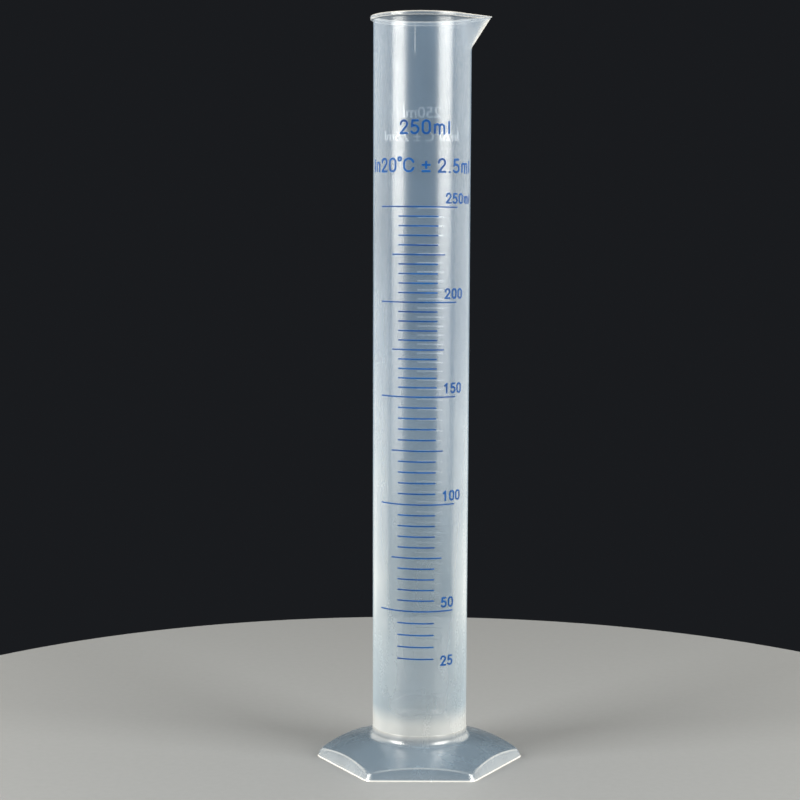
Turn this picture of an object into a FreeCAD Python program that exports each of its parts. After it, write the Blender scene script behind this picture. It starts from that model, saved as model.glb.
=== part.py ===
import FreeCAD, Part
import math
import os

import Sketcher

Vector = FreeCAD.Vector
Rotation = FreeCAD.Rotation
Placement = FreeCAD.Placement

# Frame: +Z up, origin on the tube's axis in the plane the foot stands on.
# The printed scale faces -Y and the pouring spout points along +X.

# Driving dimensions, in millimetres and degrees.
SIZES = {
    # measuring tube
    "overall_height": 325.6,
    "tube_radius_top": 21.2,
    "tube_radius_bottom": 20.8,
    "tube_seat_height": 12.2,
    "floor_thickness": 2.6,
    "floor_corner": 3.0,
    "wall_at_top": 1.25,
    "wall_at_middle": 1.28,
    "wall_at_floor": 3.9,
    "bore_middle_height": 195.0,
    "gate_radius": 1.6,
    "gate_length": 0.8,
    # rim and spout
    "rim_lip_height": 1.8,
    "rim_lip_projection": 1.25,
    "spout_projection": 8.6,
    "spout_drop": 14.4,
    "spout_tip_radius": 1.6,
    "spout_wall": 1.2,
    "spout_half_angle": 46.0,
    # foot
    "foot_across_flats": 80.0,
    "foot_corner_radius": 4.9,
    "foot_side_draft": 22.5,
    "foot_shoulder_height": 4.75,
    "foot_crown_height": 10.4,
    "foot_wall": 2.4,
    "foot_socket_depth": 2.4,
    "foot_collar_wall": 0.5,
    "foot_collar_fillet": 4.0,
    "foot_ledge": 2.2,
    "foot_ledge_hole_radius": 15.0,
    "socket_clearance": 0.05,
    # printed scale
    "ink_gap": 0.02,
    "ink_thickness": 0.1,
    "top_line_below_rim": 81.9,
    "first_line_height": 48.6,
    "lower_pitch": 5.24,
    "middle_pitch": 4.65,
    "upper_pitch": 4.05,
    "line_width": 0.54,
    "print_tilt": 0.5,
    "print_drift": 3.5,
    "long_line_start": -54.0,
    "long_line_end": 45.0,
    "medium_line_start": -36.9,
    "medium_line_end": 27.9,
    "short_line_start": -28.4,
    "short_line_end": 19.1,
    "number_start": 27.2,
    "number_height": 4.6,
    "number_rise": 1.5,
    "number_stroke": 0.76,
    "legend_height": 6.2,
    "legend_stroke": 0.86,
    "capacity_legend_below_rim": 51.5,
    "capacity_legend_centre": 3.2,
    "tolerance_legend_below_rim": 67.5,
    "tolerance_legend_centre": -0.3,
    # marks moulded on the back of the tube
    "relief_height": 0.3,
    "relief_root": 0.4,
    "relief_line_width": 0.6,
    "relief_line_start": 152.0,
    "relief_line_end": 184.0,
    "relief_text_height": 5.2,
    "relief_stroke": 0.7,
    "relief_capacity_below_rim": 42.0,
    "relief_tolerance_below_rim": 52.4,
    "relief_text_centre": 180.0,
}

# How far a cutting shape runs past the solid it cuts.
CUT_MARGIN = 1.0

# How far the shapes that cut marks out of a skin reach, in tube radii.
MARK_REACH = 1.5

# The scale runs from 30 ml to 250 ml in 5 ml lines, at three pitches.
LINE_STEP = 5
FIRST_VOLUME = 30
LOWER_STEPS = 4
MIDDLE_STEPS = 20
UPPER_STEPS = 20
# The lowest line carries a number of its own below its middle.
NUMBERS = {250: "250ml", 200: "200", 150: "150", 100: "100", 50: "50", 30: "25"}
# How far the lowest number's foot hangs under its line, in number heights.
LOWEST_NUMBER_DROP = 0.7

# One letter: its advance, then its pen strokes, in letter heights.
# A stroke starts at a point; (x, z) adds a line and (xm, zm, x, z) an arc
# through the middle point (xm, zm).
LETTERS = {
    "0": (0.78, [[(0.11, 0.28), (0.11, 0.72), (0.39, 1, 0.67, 0.72), (0.67, 0.28), (0.39, 0, 0.11, 0.28)]]),
    "1": (0.78, [[(0.18, 0.76), (0.42, 1), (0.42, 0)]]),
    "2": (0.78, [[(0.12, 0.72), (0.40, 1, 0.60, 0.56), (0.11, 0), (0.68, 0)]]),
    "5": (0.78, [[(0.62, 1), (0.20, 1), (0.15, 0.53), (0.67, 0.33, 0.11, 0.13)]]),
    "C": (0.90, [[(0.82, 0.74), (0.44, 1, 0.06, 0.62), (0.06, 0.38), (0.44, 0, 0.82, 0.26)]]),
    "I": (0.36, [[(0.18, 0), (0.18, 1)]]),
    "l": (0.36, [[(0.18, 0), (0.18, 1)]]),
    "m": (
        1.10,
        [
            [(0.15, 0), (0.15, 0.74)],
            [(0.15, 0.50), (0.35, 0.72, 0.55, 0.50), (0.55, 0)],
            [(0.55, 0.50), (0.75, 0.72, 0.95, 0.50), (0.95, 0)],
        ],
    ),
    "n": (0.74, [[(0.15, 0), (0.15, 0.74)], [(0.15, 0.48), (0.37, 0.72, 0.59, 0.48), (0.59, 0)]]),
    "°": (0.40, [[(0.06, 0.98), (0.19, 1.11, 0.32, 0.98), (0.19, 0.85, 0.06, 0.98)]]),
    "±": (0.78, [[(0.04, 0.52), (0.74, 0.52)], [(0.39, 0.22), (0.39, 0.82)], [(0.04, 0.02), (0.74, 0.02)]]),
    ".": (0.42, [[(0.21, -0.06), (0.21, 0.06)]]),
    " ": (0.36, []),
}

doc = FreeCAD.newDocument("graduated_cylinder")


class Size:
    """A number together with the sheet expression that drives it."""

    def __init__(self, value, text):
        self.value = value
        self.text = text

    def __add__(self, other):
        other = as_size(other)
        return Size(self.value + other.value, f"({self.text} + {other.text})")

    def __sub__(self, other):
        other = as_size(other)
        return Size(self.value - other.value, f"({self.text} - {other.text})")

    def __mul__(self, other):
        other = as_size(other)
        return Size(self.value * other.value, f"({self.text} * {other.text})")

    def __truediv__(self, other):
        other = as_size(other)
        return Size(self.value / other.value, f"({self.text} / {other.text})")

    def __neg__(self):
        return Size(-self.value, f"(0 - {self.text})")


def as_size(number):
    """number as a Size, whether or not it is one already."""
    return number if isinstance(number, Size) else Size(float(number), f"{float(number):.6f}")


def dim(name):
    """The Size of one cell of the sheet."""
    return Size(float(sheet.getContents(sheet.getCellFromAlias(name))), f"dims.{name}")


def make_sheet():
    """The spreadsheet that holds every driving dimension."""
    made = doc.addObject("Spreadsheet::Sheet", "dims")
    for row, (name, value) in enumerate(SIZES.items(), start=1):
        made.set(f"A{row}", name)
        made.set(f"B{row}", str(value))
        made.setAlias(f"B{row}", name)
    doc.recompute()
    return made


# ---------------------------------------------------------------- sketch helpers


def new_body(name):
    """An empty body with its own label."""
    made = doc.addObject("PartDesign::Body", name)
    made.Label = name
    return made


def sketch_on(body, name, role, level=None):
    """A sketch on one of the body's origin planes, raised by level along its normal."""
    sketch = body.newObject("Sketcher::SketchObject", name)
    plane = next(item for item in body.Origin.OriginFeatures if item.Role == role)
    sketch.AttachmentSupport = [(plane, "")]
    sketch.MapMode = "FlatFace"
    if level is not None:
        sketch.AttachmentOffset = Placement(Vector(0, 0, level.value), Rotation())
        sketch.setExpression("AttachmentOffset.Base.z", level.text)
    return sketch


def drive(sketch, constraint, size):
    """Adds a constraint and lets the sheet drive its value."""
    index = sketch.addConstraint(constraint)
    sketch.setExpression(f"Constraints[{index}]", size.text)


def pin(sketch, geometry, point, x, y):
    """Fixes one point of a sketch element at x, y from the origin."""
    for kind, axis, size in (("DistanceX", -2, x), ("DistanceY", -1, y)):
        if size.value == 0:
            sketch.addConstraint(Sketcher.Constraint("PointOnObject", geometry, point, axis))
        else:
            constraint = Sketcher.Constraint(kind, -1, 1, geometry, point, size.value)
            drive(sketch, constraint, size)


def join(sketch, first, second):
    """Makes the end of one element the start of the next."""
    sketch.addConstraint(Sketcher.Constraint("Coincident", first, 2, second, 1))


def polygon(sketch, corners):
    """A closed outline of straight lines through corners, pairs of sizes."""
    spots = [Vector(as_size(x).value, as_size(y).value, 0) for x, y in corners]
    for index, spot in enumerate(spots):
        following = spots[(index + 1) % len(spots)]
        sketch.addGeometry(Part.LineSegment(spot, following))
    for index, (x, y) in enumerate(corners):
        join(sketch, index, (index + 1) % len(corners))
        pin(sketch, index, 1, as_size(x), as_size(y))


def arc(radius, start, end, centre_x=0.0):
    """An arc about a point on the X axis, its angles in degrees."""
    circle = Part.Circle(Vector(centre_x, 0, 0), Vector(0, 0, 1), radius)
    return Part.ArcOfCircle(circle, math.radians(start), math.radians(end))


def centred_circle(sketch, radius):
    """A circle about the origin."""
    sketch.addGeometry(Part.Circle(Vector(0, 0, 0), Vector(0, 0, 1), radius.value))
    sketch.addConstraint(Sketcher.Constraint("Coincident", 0, 3, -1, 1))
    drive(sketch, Sketcher.Constraint("Radius", 0, radius.value), radius)


def teardrop(sketch, radius, tip_centre, tip_radius):
    """A circle about the origin drawn out into a rounded tip on +X."""
    turn = math.acos((radius.value - tip_radius.value) / tip_centre.value)
    slope = Vector(math.cos(turn), math.sin(turn), 0)
    mirrored = Vector(slope.x, -slope.y, 0)
    middle = Vector(tip_centre.value, 0, 0)
    angle = math.degrees(turn)
    sketch.addGeometry(arc(radius.value, angle, 360 - angle))
    sketch.addGeometry(
        Part.LineSegment(mirrored * radius.value, middle + mirrored * tip_radius.value)
    )
    sketch.addGeometry(arc(tip_radius.value, -angle, angle, tip_centre.value))
    sketch.addGeometry(Part.LineSegment(middle + slope * tip_radius.value, slope * radius.value))
    for first, second in ((0, 1), (1, 2), (2, 3), (3, 0)):
        sketch.addConstraint(Sketcher.Constraint("Tangent", first, 2, second, 1))
    sketch.addConstraint(Sketcher.Constraint("Coincident", 0, 3, -1, 1))
    sketch.addConstraint(Sketcher.Constraint("PointOnObject", 2, 3, -1))
    drive(sketch, Sketcher.Constraint("Radius", 0, radius.value), radius)
    drive(sketch, Sketcher.Constraint("Radius", 2, tip_radius.value), tip_radius)
    drive(sketch, Sketcher.Constraint("DistanceX", -1, 1, 2, 3, tip_centre.value), tip_centre)


def on_circle(radius, angle):
    """The point of a circle about the origin at an angle in degrees, as two sizes."""
    turn = math.radians(angle.value)
    across = Size(math.cos(turn), f"cos({angle.text} * 1 deg)")
    upward = Size(math.sin(turn), f"sin({angle.text} * 1 deg)")
    return radius * across, radius * upward


def spout_root(sketch, radius, half_angle):
    """The spout's lowest section: a slice of a circle, closed by its chord."""
    x, y = on_circle(radius, half_angle)
    quarter = half_angle.value / 4
    sketch.addGeometry(Part.LineSegment(Vector(x.value, y.value, 0), Vector(x.value, -y.value, 0)))
    sketch.addGeometry(arc(radius.value, -half_angle.value, -quarter))
    sketch.addGeometry(arc(radius.value, -quarter, quarter))
    sketch.addGeometry(arc(radius.value, quarter, half_angle.value))
    for first, second in ((0, 1), (1, 2), (2, 3), (3, 0)):
        join(sketch, first, second)
    for index in (1, 2, 3):
        sketch.addConstraint(Sketcher.Constraint("Coincident", index, 3, -1, 1))
    pin(sketch, 1, 1, x, -y)
    drive(sketch, Sketcher.Constraint("DistanceY", -1, 1, 3, 2, y.value), y)
    x, y = on_circle(radius, half_angle / 4)
    drive(sketch, Sketcher.Constraint("DistanceY", -1, 1, 2, 2, y.value), y)
    drive(sketch, Sketcher.Constraint("DistanceY", -1, 1, 2, 1, -y.value), -y)


def spout_mouth(sketch, radius, half_angle, tip_centre, tip_radius):
    """The spout's top section: two straight sides that meet in a rounded tip."""
    x, y = on_circle(radius, half_angle)
    across = tip_centre.value - x.value
    towards_side = math.pi - math.atan2(y.value, across)
    turn = towards_side - math.acos(tip_radius.value / math.hypot(across, y.value))
    slope = Vector(math.cos(turn), math.sin(turn), 0)
    mirrored = Vector(slope.x, -slope.y, 0)
    middle = Vector(tip_centre.value, 0, 0)
    angle = math.degrees(turn)
    low = Vector(x.value, -y.value, 0)
    high = Vector(x.value, y.value, 0)
    sketch.addGeometry(Part.LineSegment(high, low))
    sketch.addGeometry(Part.LineSegment(low, middle + mirrored * tip_radius.value))
    sketch.addGeometry(arc(tip_radius.value, -angle, angle, tip_centre.value))
    sketch.addGeometry(Part.LineSegment(middle + slope * tip_radius.value, high))
    join(sketch, 0, 1)
    join(sketch, 3, 0)
    sketch.addConstraint(Sketcher.Constraint("Tangent", 1, 2, 2, 1))
    sketch.addConstraint(Sketcher.Constraint("Tangent", 2, 2, 3, 1))
    sketch.addConstraint(Sketcher.Constraint("PointOnObject", 2, 3, -1))
    pin(sketch, 1, 1, x, -y)
    pin(sketch, 3, 2, x, y)
    drive(sketch, Sketcher.Constraint("Radius", 2, tip_radius.value), tip_radius)
    drive(sketch, Sketcher.Constraint("DistanceX", -1, 1, 2, 3, tip_centre.value), tip_centre)


# ---------------------------------------------------------------- feature helpers


def revolve(body, kind, sketch):
    """A full turn of the sketch about the body's own vertical axis."""
    made = body.newObject(kind, f"{sketch.Name}_turned")
    made.Profile = sketch
    made.ReferenceAxis = (sketch, ["V_Axis"])
    made.Angle = 360
    doc.recompute()
    return made


def pad(body, sketch, length, reversed_way=False):
    """A pad of the sketch."""
    made = body.newObject("PartDesign::Pad", f"{sketch.Name}_pad")
    made.Profile = sketch
    made.setExpression("Length", length.text)
    made.Reversed = reversed_way
    doc.recompute()
    return made


def loft(body, kind, first, second, name):
    """A ruled loft between two sketches."""
    made = body.newObject(kind, name)
    made.Profile = first
    made.Sections = [second]
    made.Ruled = True
    doc.recompute()
    return made


def round_edges(body, base, name, radius, chosen):
    """A fillet on the edges of base that chosen picks."""
    made = body.newObject("PartDesign::Fillet", name)
    names = [
        f"Edge{index}" for index, edge in enumerate(base.Shape.Edges, start=1) if chosen(edge)
    ]
    made.Base = (base, names)
    made.setExpression("Radius", radius.text)
    doc.recompute()
    return made


def ring_at(radius, level):
    """Picks whole circles of one radius at one height."""

    def chosen(edge):
        if edge.Curve.TypeId != "Part::GeomCircle":
            return False
        near = abs(edge.Curve.Radius - radius.value) < 0.01
        return near and abs(edge.Curve.Center.z - level.value) < 0.01

    return chosen


def upright(edge):
    """Picks edges that climb from one height to another."""
    levels = [corner.Z for corner in edge.Vertexes]
    return max(levels) - min(levels) > 1.0


def boolean(kind, name, base, tool):
    """A Part boolean of two objects."""
    made = doc.addObject(kind, name)
    made.Base = base
    made.Tool = tool
    made.Label = name
    return made


# ---------------------------------------------------------------- shared levels and radii


def tube_radius(level):
    """Outer radius of the tube at a height, between its two ends."""
    bottom = dim("tube_radius_bottom")
    seat = dim("tube_seat_height")
    spread = dim("tube_radius_top") - bottom
    return bottom + spread * (level - seat) / (dim("overall_height") - seat)


def bore_radius_top():
    """Radius of the bore at the rim."""
    return dim("tube_radius_top") - dim("wall_at_top")


def floor_level():
    """Height of the vessel's floor inside."""
    return dim("tube_seat_height") + dim("floor_thickness")


def collar_level():
    """Height of the top of the foot's collar."""
    return dim("tube_seat_height") + dim("foot_socket_depth")


def socket_radius():
    """Radius of the socket that the tube's lower end stands in."""
    return tube_radius(collar_level()) + dim("socket_clearance")


def spout_tip_centre():
    """Where the rounded tip of the spout has its centre."""
    return dim("tube_radius_top") + dim("spout_projection") - dim("spout_tip_radius")


# ---------------------------------------------------------------- measuring tube


def make_tube_wall():
    """The vessel itself: wall, floor, rim lip, spout and gate mark."""
    body = new_body("tube_moulding")
    rim = dim("overall_height")
    seat = dim("tube_seat_height")
    outline = sketch_on(body, "tube_outline", "XZ_Plane")
    corners = [
        (0, seat),
        (dim("tube_radius_bottom"), seat),
        (dim("tube_radius_top"), rim),
        (0, rim),
    ]
    polygon(outline, corners)
    revolve(body, "PartDesign::Revolution", outline)
    add_spout(body)
    add_rim_lip(body)
    cut_bore(body)
    cut_spout_channel(body)
    mark = sketch_on(body, "gate_mark", "XY_Plane", seat)
    centred_circle(mark, dim("gate_radius"))
    pad(body, mark, dim("gate_length"), True)
    return body


def add_spout(body):
    """The solid wedge of the spout, which leans out from inside the wall to the tip."""
    rim = dim("overall_height")
    middle_of_wall = dim("tube_radius_top") - dim("wall_at_top") / 2
    half_angle = dim("spout_half_angle")
    root = sketch_on(body, "spout_root", "XY_Plane", rim - dim("spout_drop"))
    spout_root(root, middle_of_wall, half_angle)
    mouth = sketch_on(body, "spout_mouth", "XY_Plane", rim)
    spout_mouth(mouth, middle_of_wall, half_angle, spout_tip_centre(), dim("spout_tip_radius"))
    loft(body, "PartDesign::AdditiveLoft", root, mouth, "spout_wedge")


def add_rim_lip(body):
    """The lip round the mouth, which runs out into the spout's tip."""
    lip = dim("rim_lip_height")
    outline = sketch_on(body, "rim_lip", "XY_Plane", dim("overall_height") - lip)
    radius = dim("tube_radius_top") + dim("rim_lip_projection")
    teardrop(outline, radius, spout_tip_centre(), dim("spout_tip_radius"))
    pad(body, outline, lip)


def cut_bore(body):
    """The bore: near cylindrical above, tapering below to a rounded floor."""
    rim = dim("overall_height")
    floor = floor_level()
    middle = dim("bore_middle_height")
    floor_radius = tube_radius(floor) - dim("wall_at_floor")
    outline = sketch_on(body, "bore", "XZ_Plane")
    corners = [
        (0, floor),
        (floor_radius, floor),
        (tube_radius(middle) - dim("wall_at_middle"), middle),
        (bore_radius_top(), rim),
        (bore_radius_top(), rim + CUT_MARGIN),
        (0, rim + CUT_MARGIN),
    ]
    polygon(outline, corners)
    groove = revolve(body, "PartDesign::Groove", outline)
    round_edges(body, groove, "floor_corner", dim("floor_corner"), ring_at(floor_radius, floor))


def cut_spout_channel(body):
    """The channel inside the spout."""
    rim = dim("overall_height")
    wall = dim("spout_wall")
    radius = bore_radius_top() - wall / 3
    half_angle = dim("spout_half_angle")
    root = sketch_on(body, "channel_root", "XY_Plane", rim - dim("spout_drop") + wall)
    spout_root(root, radius, half_angle)
    mouth = sketch_on(body, "channel_mouth", "XY_Plane", rim)
    tip_radius = dim("spout_tip_radius") - wall
    spout_mouth(mouth, radius, half_angle, spout_tip_centre(), tip_radius)
    loft(body, "PartDesign::SubtractiveLoft", root, mouth, "spout_channel")


# ---------------------------------------------------------------- hexagonal foot


def hexagon(across_flats):
    """The corners of a hexagon with two corners on the X axis."""
    side = across_flats / math.sqrt(3)
    half = across_flats / 2
    return [
        (side, 0),
        (side / 2, half),
        (-side / 2, half),
        (-side, 0),
        (-side / 2, -half),
        (side / 2, -half),
    ]


def make_hexagon_block(name, across_flats, corner_radius):
    """A six-sided block with leaning sides and rounded corners."""
    body = new_body(name)
    outline = sketch_on(body, f"{name}_outline", "XY_Plane")
    polygon(outline, hexagon(across_flats))
    block = pad(body, outline, collar_level() + CUT_MARGIN)
    block.setExpression("TaperAngle", (-dim("foot_side_draft")).text)
    doc.recompute()
    round_edges(body, block, f"{name}_corners", corner_radius, upright)
    return body


def crown_level(radius):
    """Height of the foot's sloping crown at a radius, as a straight line through its two levels."""
    inner = dim("tube_radius_bottom")
    outer = dim("foot_across_flats") / 2
    fall = dim("foot_crown_height") - dim("foot_shoulder_height")
    return dim("foot_crown_height") - fall * (radius - inner) / (outer - inner)


def make_crown():
    """Everything under the foot's sloping top, its collar and the fillet between them."""
    body = new_body("foot_crown")
    outline = sketch_on(body, "foot_crown_outline", "XZ_Plane")
    far = dim("foot_across_flats")
    collar = socket_radius() + dim("foot_collar_wall")
    top = collar_level()
    corners = [
        (0, -far),
        (far, -far),
        (far, crown_level(far)),
        (collar, crown_level(collar)),
        (collar, top),
        (0, top),
    ]
    polygon(outline, corners)
    turned = revolve(body, "PartDesign::Revolution", outline)
    chosen = ring_at(collar, crown_level(collar))
    round_edges(body, turned, "collar_fillet", dim("foot_collar_fillet"), chosen)
    return body


def make_hollow_crown():
    """The space under the foot's top wall and under its ledge."""
    body = new_body("foot_hollow_crown")
    outline = sketch_on(body, "foot_hollow_outline", "XZ_Plane")
    far = dim("foot_across_flats")
    wall = dim("foot_wall")
    inner = dim("tube_radius_bottom") - wall
    ceiling = dim("tube_seat_height") - dim("foot_ledge")
    corners = [
        (0, -far),
        (far, -far),
        (far, crown_level(far) - wall),
        (inner, crown_level(inner) - wall),
        (inner, ceiling),
        (0, ceiling),
    ]
    polygon(outline, corners)
    revolve(body, "PartDesign::Revolution", outline)
    return body


def upright_cylinder(name, radius, low, high):
    """A cylinder on the axis between two heights."""
    made = doc.addObject("Part::Cylinder", name)
    made.Label = name
    made.setExpression("Radius", radius.text)
    made.setExpression("Height", (high - low).text)
    made.setExpression("Placement.Base.z", low.text)
    return made


def make_foot():
    """The hollow six-sided foot with the socket that takes the tube's lower end."""
    flats = dim("foot_across_flats")
    wall = dim("foot_wall")
    corner = dim("foot_corner_radius")
    block = make_hexagon_block("foot_block", flats, corner)
    inside = make_hexagon_block("foot_hollow_block", flats - wall * 2, corner - wall)
    solid = boolean("Part::Common", "foot_solid", block, make_crown())
    hollow = boolean("Part::Common", "foot_hollow", inside, make_hollow_crown())
    shell = boolean("Part::Cut", "foot_shell", solid, hollow)
    top = collar_level() + CUT_MARGIN
    seat = dim("tube_seat_height")
    socket = upright_cylinder("foot_socket", socket_radius(), seat, top)
    socketed = boolean("Part::Cut", "foot_with_socket", shell, socket)
    hole = upright_cylinder("foot_ledge_hole", dim("foot_ledge_hole_radius"), as_size(0), top)
    return boolean("Part::Cut", "hexagonal_foot", socketed, hole)


# ---------------------------------------------------------------- scale and lettering


def make_skin(name, inner_offset, outer_offset):
    """A thin skin that follows the outside of the tube between two offsets."""
    seat = dim("tube_seat_height")
    cones = []
    for side, offset in (("outer", outer_offset), ("inner", inner_offset)):
        cone = doc.addObject("Part::Cone", f"{name}_{side}")
        cone.setExpression("Radius1", (dim("tube_radius_bottom") + offset).text)
        cone.setExpression("Radius2", (dim("tube_radius_top") + offset).text)
        cone.setExpression("Height", (dim("overall_height") - seat).text)
        cone.setExpression("Placement.Base.z", seat.text)
        cones.append(cone)
    return boolean("Part::Cut", name, *cones)


def line_level(index):
    """Height of a line of the scale, counted from the lowest."""
    lower = min(index, LOWER_STEPS)
    middle = min(max(index - LOWER_STEPS, 0), MIDDLE_STEPS)
    upper = max(index - LOWER_STEPS - MIDDLE_STEPS, 0)
    first = dim("first_line_height")
    length = dim("overall_height") - dim("top_line_below_rim") - first
    climbed = dim("lower_pitch") * lower + dim("middle_pitch") * middle + dim("upper_pitch") * upper
    whole = (
        dim("lower_pitch") * LOWER_STEPS
        + dim("middle_pitch") * MIDDLE_STEPS
        + dim("upper_pitch") * UPPER_STEPS
    )
    return first + length * climbed / whole


def sector(name, level, width, start, end, tilt):
    """A flat slice of a disc between two bearings, counted from the front towards +X."""
    made = doc.addObject("Part::Cylinder", name)
    made.setExpression("Radius", (dim("tube_radius_top") * MARK_REACH).text)
    made.setExpression("Height", width.text)
    made.setExpression("Angle", (end - start).text)
    turn = Rotation(Vector(0, 0, 1), start.value - 90)
    lean = Rotation(Vector(0, 1, 0), tilt.value)
    made.Placement = Placement(Vector(0, 0, (level - width / 2).value), lean * turn)
    made.setExpression("Placement.Base.z", (level - width / 2).text)
    return made


def line_indices(kind):
    """Which lines of the scale are long, medium or short."""
    total = LOWER_STEPS + MIDDLE_STEPS + UPPER_STEPS
    chosen = []
    for index in range(total + 1):
        volume = FIRST_VOLUME + LINE_STEP * index
        if volume % 50 == 0:
            length = "long"
        elif volume % 25 == 0:
            length = "medium"
        else:
            length = "short"
        if kind in (length, "every"):
            chosen.append(index)
    return chosen


def drifted(bearing, level, drift):
    """A bearing at a height, moved by the share of the drift that the print has there.

    The print has no drift at the top line and all of it at the lowest."""
    top = dim("overall_height") - dim("top_line_below_rim")
    share = (top - level) / (top - dim("first_line_height"))
    return bearing - drift * share


def make_lines(name, skin, kind, width, start, end, tilt, drift):
    """The lines of one length, cut out of a skin round the tube. Only their ends drift."""
    slices = []
    for index in line_indices(kind):
        level = line_level(index)
        line_end = drifted(end, level, drift)
        slices.append(sector(f"{name}_{index}", level, width, start, line_end, tilt))
    group = doc.addObject("Part::Compound", f"{name}_slices")
    group.Links = slices
    return boolean("Part::Common", name, skin, group)


def make_printed_lines(skin):
    """The three lengths of printed line, one object for each."""
    width = dim("line_width")
    tilt = dim("print_tilt")
    made = []
    for kind in ("long", "medium", "short"):
        start = dim(f"{kind}_line_start")
        end = dim(f"{kind}_line_end")
        name = f"{kind}_scale_lines"
        made.append(make_lines(name, skin, kind, width, start, end, tilt, dim("print_drift")))
    return made


def pen_path(stroke, scale):
    """A stroke of a letter as a wire in the XZ plane."""
    at = Vector(stroke[0][0], 0, stroke[0][1]) * scale
    edges = []
    for step in stroke[1:]:
        end = Vector(step[-2], 0, step[-1]) * scale
        if len(step) == 4:
            through = Vector(step[0], 0, step[1]) * scale
            edges.append(Part.Arc(at, through, end).toShape())
        else:
            edges.append(Part.LineSegment(at, end).toShape())
        at = end
    return Part.Wire(edges)


def inked(stroke, scale, pen):
    """The flat face that a pen of one width leaves along a stroke."""
    path = pen_path(stroke, scale)
    if len(path.Edges) == 1 and len(stroke[1]) == 2:
        start, end = (corner.Point for corner in path.Vertexes)
        along = (end - start).normalize()
        across = along.cross(Vector(0, 1, 0)) * (pen / 2)
        corners = [start + across, end + across, end - across, start - across, start + across]
        return Part.Face(Part.makePolygon(corners))
    if path.isClosed():
        outside = path.makeOffset2D(pen / 2)
        inside = path.makeOffset2D(-pen / 2)
        return Part.Face(outside).cut(Part.Face(inside))
    return Part.Face(path.makeOffset2D(pen / 2, 0, False, False))


def letter_block(letter, scale, pen, depth):
    """One letter as a block that runs from the axis outwards along -Y."""
    blocks = [inked(stroke, scale, pen).extrude(Vector(0, -depth, 0)) for stroke in LETTERS[letter][1]]
    return blocks[0] if len(blocks) == 1 else blocks[0].fuse(blocks[1:]).removeSplitter()


def make_text(name, text, skin, height, pen, bearing, level, centred, tilt):
    """Letters wrapped round the tube and cut out of a skin on its wall."""
    radius = dim("tube_radius_top").value
    scale = height.value - pen.value
    width = sum(LETTERS[letter][0] for letter in text) * height.value
    along = math.radians(bearing.value) * radius - (width / 2 if centred else 0)
    solids = []
    for letter in text:
        advance = LETTERS[letter][0] * height.value
        middle = along + advance / 2
        along += advance
        if not LETTERS[letter][1]:
            continue
        block = letter_block(letter, scale, pen.value, radius * MARK_REACH)
        sink = middle * math.tan(math.radians(tilt.value))
        foot = level.value + pen.value / 2 - sink
        block.translate(Vector(-LETTERS[letter][0] * scale / 2, 0, foot))
        block.rotate(Vector(0, 0, 0), Vector(0, 0, 1), math.degrees(middle / radius))
        solids.extend(skin.Shape.common(block).Solids)
    made = doc.addObject("Part::Feature", name)
    made.Label = name
    made.Shape = Part.makeCompound(solids)
    return made


def make_numbers(skin):
    """The number beside each long line, and beside the lowest line."""
    height = dim("number_height")
    pen = dim("number_stroke")
    tilt = dim("print_tilt")
    made = []
    for volume, text in NUMBERS.items():
        line = line_level((volume - FIRST_VOLUME) // LINE_STEP)
        lowest = volume == FIRST_VOLUME
        foot = line - height * LOWEST_NUMBER_DROP if lowest else line + dim("number_rise")
        name = f"number_{text}"
        start = drifted(dim("number_start"), line, dim("print_drift"))
        made.append(make_text(name, text, skin, height, pen, start, foot, False, tilt))
    return made


def make_legends(skin):
    """The two printed legends above the scale."""
    rim = dim("overall_height")
    made = []
    for name, text in (("capacity_legend", "250ml"), ("tolerance_legend", "In20°C ± 2.5ml")):
        foot = rim - dim(f"{name}_below_rim")
        bearing = dim(f"{name}_centre")
        height = dim("legend_height")
        pen = dim("legend_stroke")
        made.append(make_text(name, text, skin, height, pen, bearing, foot, True, dim("print_tilt")))
    return made


def make_relief(skin):
    """The lines and letters moulded on the back of the tube."""
    rim = dim("overall_height")
    level = as_size(0)
    straight = as_size(0)
    start = dim("relief_line_start")
    end = dim("relief_line_end")
    width = dim("relief_line_width")
    made = [make_lines("relief_lines", skin, "every", width, start, end, level, straight)]
    for name, text in (("relief_capacity", "250ml"), ("relief_tolerance", "In20°C ± 2.5ml")):
        foot = rim - dim(f"{name}_below_rim")
        height = dim("relief_text_height")
        pen = dim("relief_stroke")
        bearing = dim("relief_text_centre")
        made.append(make_text(name, text, skin, height, pen, bearing, foot, True, level))
    return made


def make_tube(relief_skin):
    """The tube with its moulded marks."""
    tube = doc.addObject("Part::MultiFuse", "measuring_tube")
    tube.Label = "measuring_tube"
    tube.Shapes = [make_tube_wall()] + make_relief(relief_skin)
    return tube


# ---------------------------------------------------------------- build, check and write


def check(parts):
    """Stops the build if anything failed or came out empty."""
    for item in doc.Objects:
        bad = [state for state in item.State if state in ("Invalid", "Error")]
        if bad:
            raise RuntimeError(f"{item.Name} is {bad}")
    for part in parts:
        shape = part.Shape
        if shape.isNull() or not shape.isValid() or not shape.Solids:
            raise RuntimeError(f"{part.Label} has no valid solid")


def build():
    """Makes every piece and writes each to its own file."""
    gap = dim("ink_gap")
    ink_skin = make_skin("ink_skin", gap, gap + dim("ink_thickness"))
    relief_skin = make_skin("relief_skin", -dim("relief_root"), dim("relief_height"))
    doc.recompute()
    parts = [make_tube(relief_skin), make_foot()]
    parts += make_printed_lines(ink_skin)
    parts += make_numbers(ink_skin)
    parts += make_legends(ink_skin)
    doc.recompute()
    check(parts)
    os.makedirs("parts", exist_ok=True)
    for part in parts:
        part.Shape.exportStep(f"parts/{part.Label}.step")
        print(part.Label, len(part.Shape.Solids), round(part.Shape.Volume, 2))


sheet = make_sheet()
build()
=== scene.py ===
import math

import bmesh
import bpy
from mathutils import Matrix, Vector


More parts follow.
